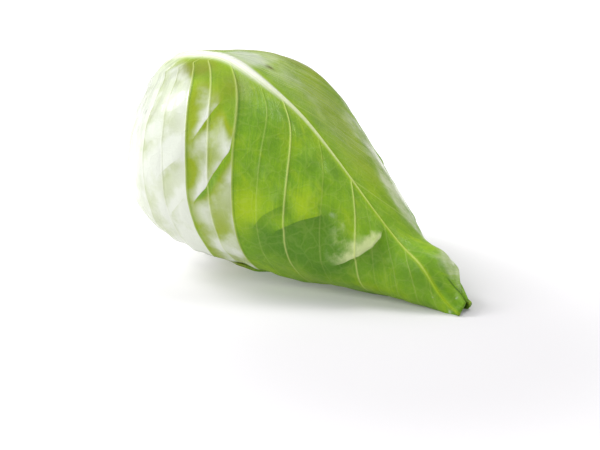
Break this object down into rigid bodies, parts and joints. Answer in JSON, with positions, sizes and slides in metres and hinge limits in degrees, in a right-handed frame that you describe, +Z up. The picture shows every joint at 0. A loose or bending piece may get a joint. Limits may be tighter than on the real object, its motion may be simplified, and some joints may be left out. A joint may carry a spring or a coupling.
{
  "type": "pointed cabbage",
  "caption": "Pointed cabbage head lying on its side: overlapping ribbed wrapper leaves round a tight inner head, with a short cut stem at the blunt end",
  "frame": {"origin": "centre of the bounding box in plan, on the surface that the head lies on", "axes": "+X runs from the stem end to the pointed tip, +Z is up, +Y completes the right-handed frame; the head lies on its side with its tip down"},
  "size_m": [0.2206, 0.1428, 0.1148],
  "materials": {
    "outer_leaf": "waxy green leaf, satin, pale at the base, with light ribs and veins",
    "inner_leaf": "cream to yellow-green leaf, satin",
    "stem": "pale cut stem, matt and moist, with a ring of fibres"
  },
  "bodies": {
    "root": {"stem": "stem", "inner_head": "inner_leaf", "leaf_1": "outer_leaf", "leaf_2": "outer_leaf", "leaf_3": "outer_leaf", "leaf_4": "outer_leaf", "leaf_5": "outer_leaf"}
  },
  "joints": []
}
